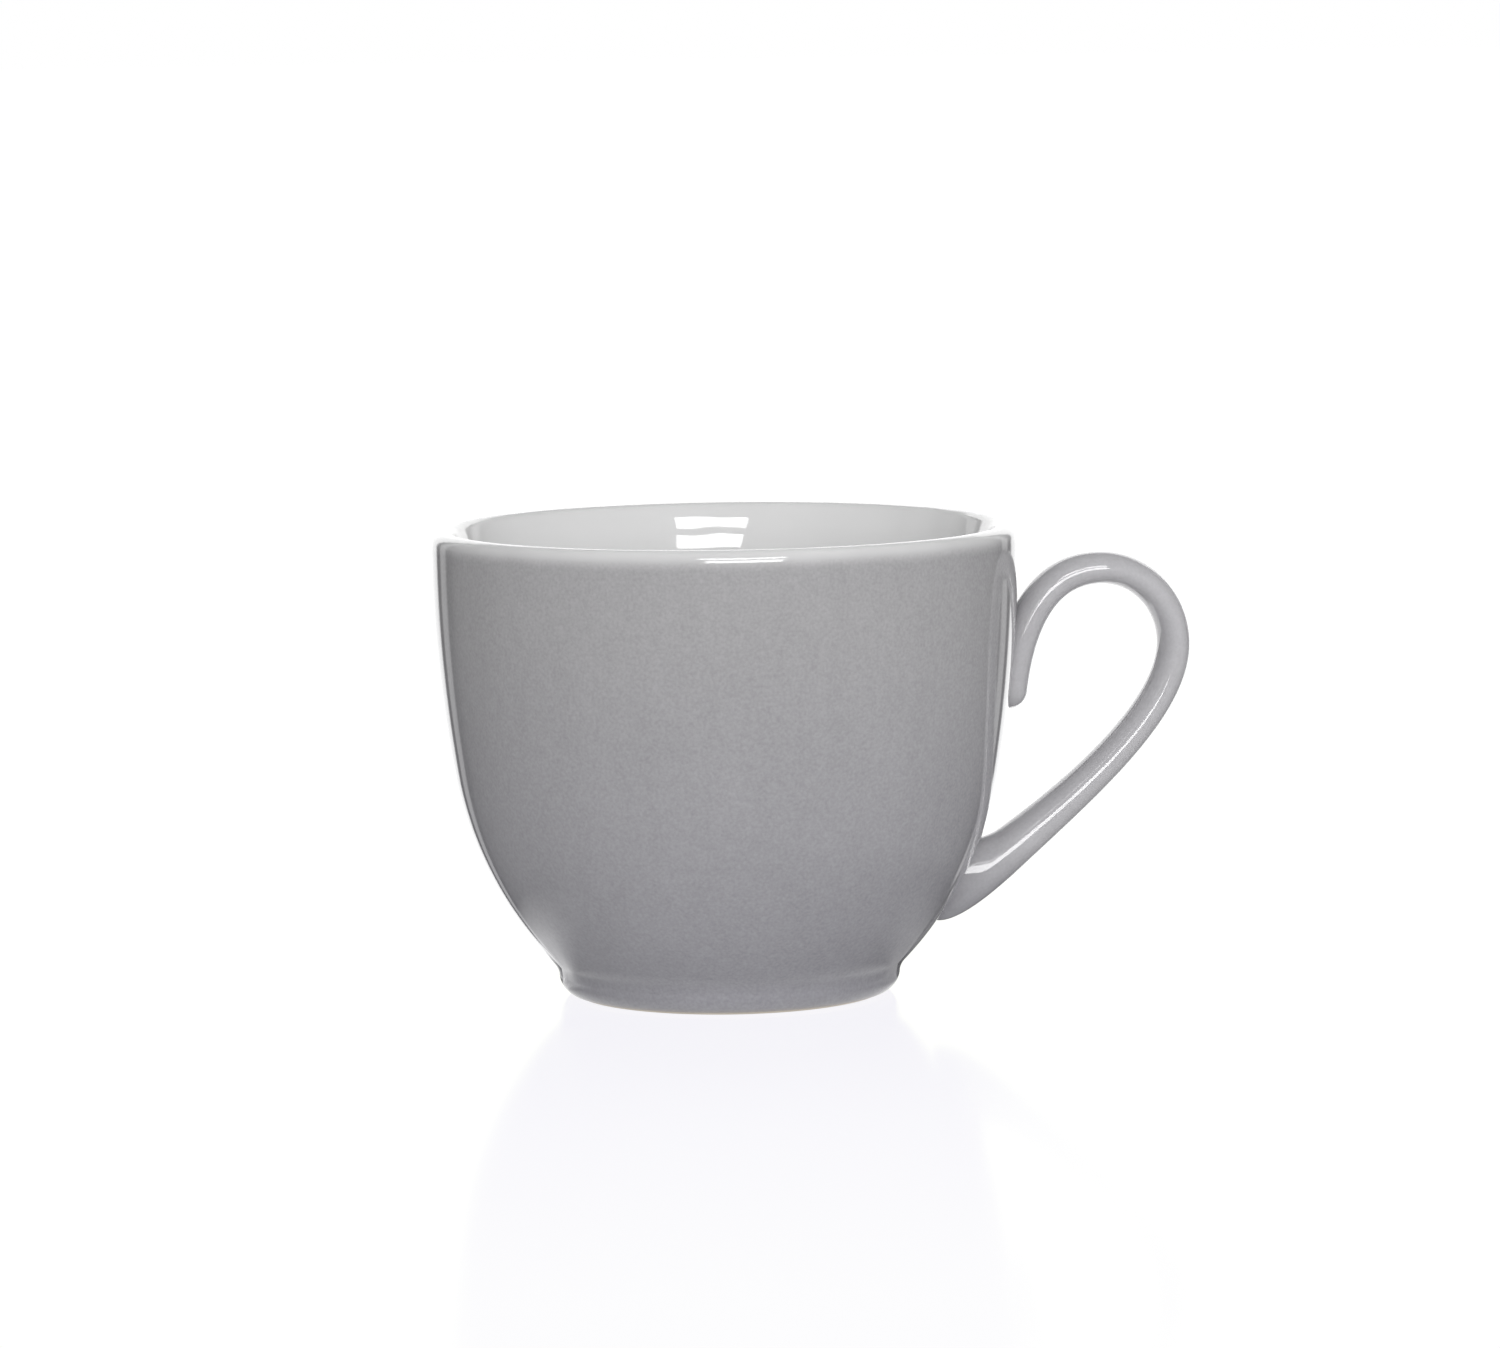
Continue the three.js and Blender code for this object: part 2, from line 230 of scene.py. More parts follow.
class BowlSizes(bpy.types.PropertyGroup):
    """Sizes of the bowl and its glaze coats, over the glaze."""

    rim_diameter: length("Rim diameter", 70, "Across the lip")
    cup_height: length("Height", 56, "From the table to the lip's crown")
    lip_thickness: length("Lip thickness", 2.9, "Across the round lip")
    upper_curve: length("Upper curve", 164, "Profile radius of the upper wall")
    join_height: length("Join height", 27, "Where the upper curve runs into the lower one")
    waist_fillet: length("Waist fillet", 3.2, "Hollow between the wall and the foot")
    foot_diameter: length("Foot diameter", 40.8, "Across the foot at the top of its rounded edge")
    foot_edge_height: length("Foot edge height", 2.55, "Height of the foot's rounded edge")
    foot_lean: angle("Foot lean", 13, "Outward lean of the foot where the hollow starts")
    ring_diameter: length("Ring diameter", 35.6, "Outside of the flat ring that stands on the table")
    ring_width: length("Ring width", 1.8, "Width of that ring")
    ring_rounding: length("Ring rounding", 0.4, "Rounding of the ring's inner edges")
    recess_depth: length("Recess depth", 1.8, "Depth of the recess inside the ring")
    recess_slope: length("Recess slope", 1.2, "How far the ring's inner face slopes inwards")
    floor_thickness: length("Floor thickness", 4.2, "From the recess to the floor inside")
    floor_flat: length("Floor flat", 10, "Across the flat middle of the floor")
    flare_lean: angle("Flare lean", 29, "Outward lean of the inside wall at the lip")
    flare_curve: length("Flare curve", 12, "Profile radius over which that lean eases off")
    inside_lean: angle("Inside lean", 2.5, "Lean of the inside wall under the flare")
    inside_curve: length("Inside curve", 200, "Profile radius of the inside wall under the flare")
    glaze: length("Glaze", 0.35, "Thickness of a glaze coat")
    colour_line: length("Colour line", 1.3, "From the lip's crown down to where white meets grey")
    bare_edge: length("Bare edge", 0.4, "Height of the wiped edge under the grey coat")
    underside_margin: length("Underside margin", 0.8, "Bare strip round the underside coat")


class HandleSizes(bpy.types.PropertyGroup):
    """Sizes of the handle over its glaze. Drops are below the rim, reaches beyond it."""

    tail_drop: length("Tail drop", 22.9, "Tip of the tail")
    tail_offset: length("Tail offset", 0.3, "Centreline outside the wall along the tail")
    tail_run: length("Tail run", 8.8, "How long the tail follows the wall")
    top_drop: length("Top drop", 6.2, "Centreline at the top of the loop")
    top_reach: length("Top reach", 10.4, "Centreline at the top of the loop")
    top_run: length("Top run", 7.8, "How long the strap stays level before the top")
    side_reach: length("Side reach", 19.3, "Centreline at the side of the loop")
    side_drop: length("Side drop", 15.4, "Centreline at the side of the loop")
    side_run: length("Side run", 11.6, "How long the strap stays upright below its side")
    root_height: length("Root height", 8.6, "Where the centreline meets the wall below")
    root_angle: angle("Root angle", 46, "Slope at which the strap meets the wall")
    root_run: length("Root run", 8.5, "How long the strap keeps that slope")
    root_depth: length("Root depth", 0.8, "How far the toe runs on inside the wall")
    tail_thickness: length("Tail thickness", 4.6, "In the plane of the loop")
    tail_width: length("Tail width", 6.4, "Across the loop")
    tail_rounding: length("Tail rounding", 2.4, "Length of the rounded tip")
    strap_thickness: length("Strap thickness", 3.9, "In the plane of the loop")
    strap_width: length("Strap width", 6.8, "Across the loop")
    root_thickness: length("Root thickness", 7.3, "In the plane of the loop")
    root_width: length("Root width", 8.4, "Across the loop")
    root_rounding: length("Root rounding", 12, "Length over which the toe rounds off")
    tail_taper: factor("Tail taper", 0.7, "Below 1 the tail's size soon gives way to the strap's")
    root_flare: factor("Root flare", 3, "Above 1 the strap swells only near the lower root")
    slip_reach: length("Slip reach", 2.6, "How far up the strap the slip's hollow fillet climbs")
    slip_swell: length("Slip swell", 1.8, "How far that fillet spreads on the wall")
    sunk: length("Sunk", 0.15, "How deep the handle's coat reaches into the wall's coat")


class Finishes(bpy.types.PropertyGroup):
    """Colours of the glazes, the porcelain and the studio."""

    grey: colour("Grey glaze", "acabad", "Grey glaze on the upper bowl")
    # A darker, bluer grey towards the foot; where the handle takes it near its lower root it is painted
    # shade.
    grey_low: colour("Low grey glaze", "a1a0a6", "The same glaze where it gathers towards the foot")
    # The handle's grey is lighter than the bowl's as painted light: it stands in for the bright back shining
    # through the thin strap.
    handle_grey_with_painted_light: colour("Handle glaze", "c5c4c7", "The same glaze on the thin, translucent handle")
    grey_foot: colour("Foot glaze", "b3a79c", "Where the grey glaze thins over bare clay at the foot")
    speck: colour("Speck", "5f5c60", "Iron specks in the grey glaze")
    white: colour("White glaze", "f0f0f0", "White glaze of the inside and lip")
    porcelain: colour("Porcelain", "e2d9cb", "Bare fired porcelain of the foot ring")
    slip: colour("Slip", "d9cfbf", "Fired slip in the handle's joints")
    table: colour("Table", "b0b0b0", "Pale table top, besides its own light")


class Studio(bpy.types.PropertyGroup):
    """Camera and light."""

    camera_distance: length("Camera distance", 740, "Level distance from the bowl's axis")
    camera_height: length("Camera height", 119.28, "Above the table")
    camera_turn: angle("Camera turn", -7, "Round the bowl's axis, off the square view of the handle")
    camera_pan: angle("Camera pan", -0.225, "Turn of the lens off the bowl's axis")
    camera_tilt: angle("Camera tilt", -6.259, "Tilt of the lens below level")
    camera_roll: angle("Camera roll", -0.772, "Roll of the lens")
    lens: focal_length("Lens", 149.74, "Focal length for a picture 36 mm wide")
    softbox_distance: length("Softbox distance", 800, "From the bowl")
    softbox_width: length("Softbox width", 420, "Width of both panes")
    softbox_light: factor("Softbox light", 4.9, "Brightness of the panes as they light the cup")
    softbox_gleam: factor("Softbox gleam", 11, "Brightness of the panes as the glaze mirrors them")
    room_light: factor("Room light", 0.44, "Even light of the pale room")
    table_light: factor("Table light", 0.33, "Glow of the table, which is lit from below")
    table_gleam: factor("Table gleam", 1.0, "Brightness of the table by the foot as the glaze mirrors it")
    sweep_gleam: factor("Sweep gleam", 1.8, "Brightness of the sweep behind the cup as the glaze mirrors it")
    light_turn: angle("Light turn", 3, "Turn of the panes' light to the handle's side of their gleam")


class Bowl:
    """Profile of the bowl as points (radius, height), from the sizes."""

    def __init__(self, sizes):
        self.sizes = sizes
        self.rim = sizes.rim_diameter / 2
        self.lip_radius = sizes.lip_thickness / 2
        self.lip_centre = Vector((self.rim - self.lip_radius, sizes.cup_height - self.lip_radius))
        self.upper_centre = Vector((self.rim - sizes.upper_curve, self.lip_centre.y))
        self.join_angle = -math.asin((self.lip_centre.y - sizes.join_height) / sizes.upper_curve)
        join = polar(self.upper_centre, sizes.upper_curve, self.join_angle)
        self.foot_top = Vector((sizes.foot_diameter / 2, sizes.foot_edge_height))
        self.waist_centre = polar(self.foot_top, sizes.waist_fillet, -sizes.foot_lean)
        between = join - self.waist_centre
        inwards = polar(Vector((0, 0)), -1, self.join_angle)
        spare = between.length_squared - sizes.waist_fillet**2
        self.lower_curve = spare / (2 * (sizes.waist_fillet - between.dot(inwards)))
        self.lower_centre = polar(join, -self.lower_curve, self.join_angle)
        waist = self.waist_centre - self.lower_centre
        self.waist_angle = math.atan2(waist.y, waist.x)
        self.lip_inner = math.pi - sizes.flare_lean
        self.wall_inner = math.pi - sizes.inside_lean
        self.flare_centre = polar(self.lip_centre, self.lip_radius - sizes.flare_curve, self.lip_inner)
        self.inside_centre = polar(self.flare_centre, sizes.flare_curve + sizes.inside_curve, self.wall_inner)
        self.floor_height = sizes.recess_depth + sizes.floor_thickness
        across = sizes.floor_flat / 2 - self.inside_centre.x
        down = self.floor_height - self.inside_centre.y
        spare = sizes.inside_curve**2 - across**2 - down**2
        self.floor_curve = spare / (2 * (down + sizes.inside_curve))
        self.floor_centre = Vector((sizes.floor_flat / 2, self.floor_height + self.floor_curve))
        rise = (self.inside_centre.y - self.floor_centre.y) / (sizes.inside_curve - self.floor_curve)
        self.floor_angle = -math.asin(rise)

    def wall_radius(self, height):
        """Outside radius of the wall at a height above the hollow."""
        upper = height > self.sizes.join_height
        centre = self.upper_centre if upper else self.lower_centre
        curve = self.sizes.upper_curve if upper else self.lower_curve
        return centre.x + math.sqrt(curve**2 - (height - centre.y) ** 2)

    def foot_edge(self, inset, from_height, steps):
        """Quarter round of the foot's edge, from a height up."""
        top = polar(self.foot_top, -inset, -self.sizes.foot_lean)
        ring = self.sizes.ring_diameter / 2
        start = math.acos(1 - from_height / top.y)
        turns = [start + (math.pi / 2 - start) * i / steps for i in range(steps + 1)]
        return [Vector((ring + (top.x - ring) * math.sin(t), top.y * (1 - math.cos(t)))) for t in turns]

    def outside_wall(self, inset, fineness):
        """Hollow, lower curve and upper curve up to the lip's outermost point."""
        sizes = self.sizes
        waist = self.waist_angle
        join = self.join_angle
        start = math.pi - sizes.foot_lean
        hollow = arc(self.waist_centre, sizes.waist_fillet + inset, start, waist + math.pi, 2 * fineness)
        lower = arc(self.lower_centre, self.lower_curve - inset, waist, join, 6 * fineness)
        upper = arc(self.upper_centre, sizes.upper_curve - inset, join, 0, 5 * fineness)
        return hollow[1:-1] + lower + upper[1:]

    def lip(self, inset, start, end, steps):
        """Part of the lip's round between two angles."""
        return arc(self.lip_centre, self.lip_radius - inset, start, end, steps)

    def inside_wall(self, inset, fineness):
        """Flare, wall and floor inside, from under the lip down to the axis."""
        sizes = self.sizes
        lip = self.lip_inner
        floor = self.floor_angle
        flare = arc(self.flare_centre, sizes.flare_curve - inset, lip, self.wall_inner, 3 * fineness)
        upper = arc(self.inside_centre, sizes.inside_curve + inset, -sizes.inside_lean, floor, 4 * fineness)
        lower = arc(self.floor_centre, self.floor_curve + inset, floor, -math.pi / 2, 6 * fineness)
        return flare[1:] + upper[1:] + lower[1:] + [Vector((0, self.floor_height - inset))]

    def colour_angle(self):
        """Angle on the lip's round where white meets grey."""
        return math.asin(1 - self.sizes.colour_line / self.lip_radius)


def polar(centre, distance, turn):
    """Point at a distance and angle from a centre."""
    return centre + distance * Vector((math.cos(turn), math.sin(turn)))


def arc(centre, radius, start, end, steps):
    """Points along an arc."""
    return [polar(centre, radius, start + (end - start) * i / steps) for i in range(steps + 1)]


def begin(name, add, **settings):
    """Adds a primitive by itself and opens it in edit mode with everything selected."""
    bpy.ops.object.select_all(action="DESELECT")
    add(**settings)
    piece = bpy.context.object
    piece.name = name
    piece.data.name = name
    bpy.ops.object.mode_set(mode="EDIT")
    bpy.ops.mesh.select_all(action="SELECT")
    return piece


def trace(name, points):
    """Draws a profile through points (radius, height) by extruding one corner from point to point."""
    start = (AXIS + points[0].x, 0, points[0].y)
    piece = begin(name, bpy.ops.mesh.primitive_plane_add, size=MM, location=start)
    bpy.ops.mesh.merge(type="CENTER")
    for before, after in zip(points, points[1:]):
        step = after - before
        bpy.ops.mesh.extrude_region_move(TRANSFORM_OT_translate={"value": (step.x, 0, step.y)})
    return piece


def close_profile(piece):
    """Joins the profile's last corner to its first."""
    corners = bmesh.from_edit_mesh(piece.data).verts
    corners.ensure_lookup_table()
    corners[0].select_set(True)
    corners[-1].select_set(True)
    bpy.ops.mesh.edge_face_add()


def turn(piece):
    """Spins a profile once round the bowl's axis into a closed shape and leaves edit mode."""
    bpy.ops.mesh.select_all(action="SELECT")
    bpy.ops.mesh.spin(steps=TURN_STEPS, angle=2 * math.pi, center=(AXIS, 0, 0), axis=(0, 0, 1))
    close_up(piece)


def close_up(piece):
    """Merges doubled corners, points all faces outwards and puts the piece's place into its mesh."""
    bpy.ops.mesh.select_all(action="SELECT")
    bpy.ops.mesh.remove_doubles(threshold=MERGE_DISTANCE)
    bpy.ops.mesh.normals_make_consistent(inside=False)
    bpy.ops.object.mode_set(mode="OBJECT")
    bpy.ops.object.transform_apply(location=True, rotation=True, scale=True)


def pick(piece):
    """Selects one piece by itself and makes it the active one."""
    bpy.ops.object.select_all(action="DESELECT")
    piece.select_set(True)
    bpy.context.view_layer.objects.active = piece


def check_closed(piece):
    """Stops with an error if a piece is empty or has an edge that does not join just two faces."""
    mesh = bmesh.new()
    mesh.from_mesh(piece.data)
    faces = len(mesh.faces)
    loose = sum(not edge.is_manifold for edge in mesh.edges)
    mesh.free()
    if loose or not faces:
        raise RuntimeError(f"{piece.name} is not closed: {faces} faces, {loose} loose edges")


def hand_over(piece, material, slot, *nodes):
    """Gives a finished piece its material and its body, and hides the solids that it stands for."""
    check_closed(piece)
    pick(piece)
    bpy.ops.object.shade_smooth_by_angle(angle=SMOOTH_ANGLE)
    piece.data.materials.clear()
    piece.data.materials.append(material)
    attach(piece, BODY)
    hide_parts(*nodes)


def apply_modifier(piece, kind, **settings):
    """Adds a modifier, sets it and applies it."""
    modifier = piece.modifiers.new(kind.title(), kind)
    for name, value in settings.items():
        setattr(modifier, name, value)
    bpy.ops.object.modifier_apply(modifier=modifier.name)


def add_node(tree, kind, inputs=(), **settings):
    """Adds a shader node with its settings, and with values or links on its inputs, by name or in order.
    A node given as an input stands for its first output in use."""
    node = tree.nodes.new("ShaderNode" + kind)
    for name, value in settings.items():
        setattr(node, name, value)
    pairs = inputs.items() if isinstance(inputs, dict) else enumerate(inputs)
    for name, value in pairs:
        socket = node.inputs[name]
        if isinstance(value, bpy.types.Node):
            value = next(output for output in value.outputs if output.enabled)
        if isinstance(value, bpy.types.NodeSocket):
            tree.links.new(value, socket)
        elif socket.type == "RGBA":
            socket.default_value = (*value, 1)
        else:
            socket.default_value = value
    return node


def per(millimetres):
    """Texture scale at which one feature has that size."""
    return 1 / (millimetres * MM)


def empty_tree(owner):
    """Node tree of a material, lamp or world, without its first nodes."""
    owner.use_nodes = True
    owner.node_tree.nodes.clear()
    return owner.node_tree


def new_material(name):
    """Empty node material and its tree."""
    material = bpy.data.materials.new(name)
    return material, empty_tree(material)


def white_share(tree, coords, sizes):
    """Share of white glaze by height on the lip, where the grey thins out along a wavering line."""
    wander = add_node(tree, "TexNoise", {"Vector": coords, "Scale": per(LINE_WANDER), "Detail": 2.0})
    split = add_node(tree, "SeparateXYZ", (coords,))
    wavering = (wander, LINE_WOBBLE, split.outputs["Z"])
    height = add_node(tree, "Math", wavering, operation="MULTIPLY_ADD")
    line = sizes.cup_height + LINE_WOBBLE / 2
    fade = (height, line + FADE_BOTTOM, line + FADE_TOP)
    return add_node(tree, "MapRange", fade, interpolation_type="SMOOTHSTEP")


def grey_glaze(context, name, body, darker_below, graininess):
    """Glossy grey glaze, dipped and fired: darker and bluer below, which on the handle is painted shade
    towards its lower root; it breaks to near white where it thins over the lip, lets the clay show warm at
    the wiped foot, and has a fine grain, faint runs and clouds and a few iron specks. The body colour is
    reached between two heights; the handle's lighter body colour is painted light."""
    finishes = context.scene.cup_finishes
    material, tree = new_material(name)
    coords = add_node(tree, "TexCoord").outputs["Object"]
    height = add_node(tree, "SeparateXYZ", (coords,)).outputs["Z"]
    upright = add_node(tree, "Mapping", {"Vector": coords, "Scale": RUN_STRETCH})
    patterns = (
        (CLOUD_SIZE, 3.0, coords, CLOUD_SHADE),
        (RUN_SIZE, 2.0, upright, RUN_SHADE),
        (MOTTLE_SIZE, 1.0, coords, MOTTLE_SHADE),
        (GRAIN_SIZE, 2.0, coords, graininess),
    )
    shade = 1 - sum(strength for *_, strength in patterns) / 2
    for size, detail, place, strength in patterns:
        noise = add_node(tree, "TexNoise", {"Vector": place, "Scale": per(size), "Detail": detail})
        shade = add_node(tree, "Math", (noise, strength, shade), operation="MULTIPLY_ADD")
    # Darker, bluer grey below the lower height; on the handle this is painted shade towards the lower root.
    raised = add_node(tree, "MapRange", (height, *darker_below))
    mixed = {"Factor": raised, "A": finishes.grey_low, "B": body}
    base = add_node(tree, "Mix", mixed, data_type="RGBA")
    base = add_node(tree, "HueSaturation", {"Color": base, "Value": shade})
    cells = add_node(tree, "TexVoronoi", {"Vector": coords, "Scale": per(SPECK_SPACING)})
    near = add_node(tree, "MapRange", (cells, SPECK_CORE, SPECK_EDGE, 1.0, 0.0))
    lot = add_node(tree, "SeparateColor", (cells.outputs["Color"],))
    chosen = add_node(tree, "Math", (lot, SPECK_LOT), operation="GREATER_THAN")
    speck = add_node(tree, "Math", (near, chosen), operation="MULTIPLY")
    wipe = (height, *WIPED, WIPED_SHARE, 0.0)
    wiped = add_node(tree, "MapRange", wipe, interpolation_type="SMOOTHSTEP")
    layers = (
        (speck, finishes.speck),
        (wiped, finishes.grey_foot),
        (white_share(tree, coords, context.scene.cup_bowl), finishes.white),
    )
    for share, tint in layers:
        base = add_node(tree, "Mix", {"Factor": share, "A": base, "B": tint}, data_type="RGBA")
    finish_glaze(tree, coords, base, *GREY_WAVE)
    return material


def finish_glaze(tree, coords, base, width, depth):
    """Glassy surface with the slow waves of a fired glaze and hardly any haze."""
    wave = add_node(tree, "TexNoise", {"Vector": coords, "Scale": per(width), "Detail": 1.0})
    finish_surface(tree, base, wave, depth, GLAZE_HAZE, GLAZE_IOR)


def finish_surface(tree, base, relief, depth, roughness, ior):
    """Surface of one colour with a shallow relief, along which its roughness varies too."""
    bump = add_node(tree, "Bump", {"Height": relief, "Strength": 1.0, "Distance": depth})
    rough = add_node(tree, "MapRange", (relief, 0.0, 1.0, *roughness))
    finish = {"Base Color": base, "Roughness": rough, "IOR": ior, "Normal": bump}
    surface = add_node(tree, "BsdfPrincipled", finish)
    add_node(tree, "OutputMaterial", {"Surface": surface})


def clouded(tree, coords, base, size, detail, shades):
    """A colour that soft clouds lighten and darken."""
    cloud = add_node(tree, "TexNoise", {"Vector": coords, "Scale": per(size), "Detail": detail})
    shade = add_node(tree, "MapRange", (cloud, 0.0, 1.0, *shades))
    return add_node(tree, "HueSaturation", {"Color": base, "Value": shade})


def white_glaze(context):
    """Glossy white glaze over porcelain: even, faintly cloudy, greying where the outside coat laps it."""
    finishes = context.scene.cup_finishes
    sizes = context.scene.cup_bowl
    material, tree = new_material("glossy_white_glaze")
    coords = add_node(tree, "TexCoord").outputs["Object"]
    body = clouded(tree, coords, finishes.white, WHITE_CLOUD_SIZE, 3.0, WHITE_CLOUD_SHADE)
    outside = white_share(tree, coords, sizes)
    from_axis = add_node(tree, "VectorMath", (coords, (AXIS, 0, 0)), operation="SUBTRACT")
    level = add_node(tree, "VectorMath", (from_axis, (1, 1, 0)), operation="MULTIPLY")
    radius = add_node(tree, "VectorMath", (level,), operation="LENGTH")
    crown = sizes.rim_diameter / 2 - sizes.lip_thickness / 2
    inside = add_node(tree, "MapRange", (radius, crown, crown + LIP_FADE, 1.0, 0.0))
    share = add_node(tree, "Math", (outside, inside), operation="MAXIMUM")
    base = add_node(tree, "Mix", {"Factor": share, "A": finishes.grey, "B": body}, data_type="RGBA")
    finish_glaze(tree, coords, base, *WHITE_WAVE)
    return material


def bare_clay(name, base, grit_size):
    """Unglazed fired clay: matt, faintly sandy, with slight clouds from the kiln."""
    material, tree = new_material(name)
    coords = add_node(tree, "TexCoord").outputs["Object"]
    body = clouded(tree, coords, base, CLAY_CLOUD_SIZE, 4.0, CLAY_CLOUD_SHADE)
    grit = add_node(tree, "TexNoise", {"Vector": coords, "Scale": per(grit_size), "Detail": 3.0})
    finish_surface(tree, body, grit, GRIT_DEPTH, CLAY_ROUGHNESS, CLAY_IOR)
    return material


def material_of(name, make, *details):
    """Material by name, made the first time that a piece asks for it."""
    return bpy.data.materials.get(name) or make(*details)


class CUP_OT_bowl(bpy.types.Operator):
    """Turn the porcelain bowl, whose foot ring stays bare"""

    bl_idname = "cup.bowl"
    bl_label = "Bowl"

    def execute(self, context):
        sizes = context.scene.cup_bowl
        bowl = Bowl(sizes)
        inner = sizes.ring_diameter / 2 - sizes.ring_width
        foot = [
            Vector((0, sizes.recess_depth)),
            Vector((inner - sizes.recess_slope, sizes.recess_depth)),
            Vector((inner, 0)),
        ]
        edge = bowl.foot_edge(sizes.glaze, 0, 4 * HIDDEN)
        wall = bowl.outside_wall(sizes.glaze, HIDDEN)
        lip = bowl.lip(sizes.glaze, 0, bowl.lip_inner, 4 * HIDDEN)
        inside = bowl.inside_wall(sizes.glaze, HIDDEN)
        piece = trace("porcelain_bowl", foot + edge + wall + lip[1:] + inside)
        bpy.ops.mesh.select_all(action="DESELECT")
        corners = bmesh.from_edit_mesh(piece.data).verts
        corners.ensure_lookup_table()
        for corner in corners[1:3]:
            corner.select_set(True)
        bpy.ops.mesh.bevel(offset=sizes.ring_rounding, segments=ROUNDING_SEGMENTS, affect="VERTICES")
        turn(piece)
        porcelain = context.scene.cup_finishes.porcelain
        clay = material_of("bare_porcelain", bare_clay, "bare_porcelain", porcelain, PORCELAIN_GRIT)
        hand_over(piece, clay, "porcelain", "bowl")
        return {"FINISHED"}


class CUP_OT_white_coat(bpy.types.Operator):
    """Turn the white coat of the inside and the lip"""

    bl_idname = "cup.white_coat"
    bl_label = "White coat"

    def execute(self, context):
        sizes = context.scene.cup_bowl
        bowl = Bowl(sizes)
        edge = bowl.colour_angle()
        backing = bowl.lip(sizes.glaze, edge, bowl.lip_inner, 4 * HIDDEN)
        backing += bowl.inside_wall(sizes.glaze, HIDDEN)
        face = bowl.lip(0, edge, bowl.lip_inner, 5 * SEEN) + bowl.inside_wall(0, SEEN)
        piece = trace("white_coat", backing[::-1] + face)
        turn(piece)
        glaze = material_of("glossy_white_glaze", white_glaze, context)
        hand_over(piece, glaze, "white_glaze", "inside_glaze")
        return {"FINISHED"}


class CUP_OT_grey_coat(bpy.types.Operator):
    """Turn the grey coat of the outside, with a rounded edge where it is wiped off the foot"""

    bl_idname = "cup.grey_coat"
    bl_label = "Grey coat"

    def execute(self, context):
        sizes = context.scene.cup_bowl
        bowl = Bowl(sizes)
        edge = bowl.colour_angle()
        face = bowl.foot_edge(0, sizes.bare_edge, 2 * SEEN) + bowl.outside_wall(0, SEEN)
        face += bowl.lip(0, 0, edge, SEEN)[1:]
        backing = bowl.foot_edge(sizes.glaze, sizes.bare_edge, 2 * HIDDEN)
        backing += bowl.outside_wall(sizes.glaze, HIDDEN)
        backing += bowl.lip(sizes.glaze, 0, edge, HIDDEN)[1:]
        middle = (face[0] + backing[0]) / 2
        reach = (face[0] - backing[0]) / 2
        steps = 2 * HIDDEN
        bead = [middle + Matrix.Rotation(-math.pi * i / steps, 2) @ -reach for i in range(1, steps)]
        piece = trace("grey_coat", face + backing[::-1] + bead)
        close_profile(piece)
        turn(piece)
        grey = context.scene.cup_finishes.grey
        glaze = grey_glaze(context, "glossy_grey_glaze", grey, BOWL_DARKER_BELOW, BOWL_GRAIN)
        hand_over(piece, glaze, "grey_glaze", "outside_glaze")
        return {"FINISHED"}


class CUP_OT_underside_coat(bpy.types.Operator):
    """Turn the thin coat in the recess under the foot"""

    bl_idname = "cup.underside_coat"
    bl_label = "Underside coat"

    def execute(self, context):
        sizes = context.scene.cup_bowl
        radius = sizes.ring_diameter / 2 - sizes.ring_width - sizes.recess_slope - sizes.underside_margin
        top = sizes.recess_depth
        middle = Vector((radius - sizes.glaze, top))
        rounded = arc(middle, sizes.glaze, -math.pi / 2, 0, SEEN)
        piece = trace("underside_coat", [Vector((0, top - sizes.glaze)), *rounded, Vector((0, top))])
        turn(piece)
        glaze = material_of("glossy_white_glaze", white_glaze, context)
        hand_over(piece, glaze, "white_glaze", "underside_glaze")
        return {"FINISHED"}


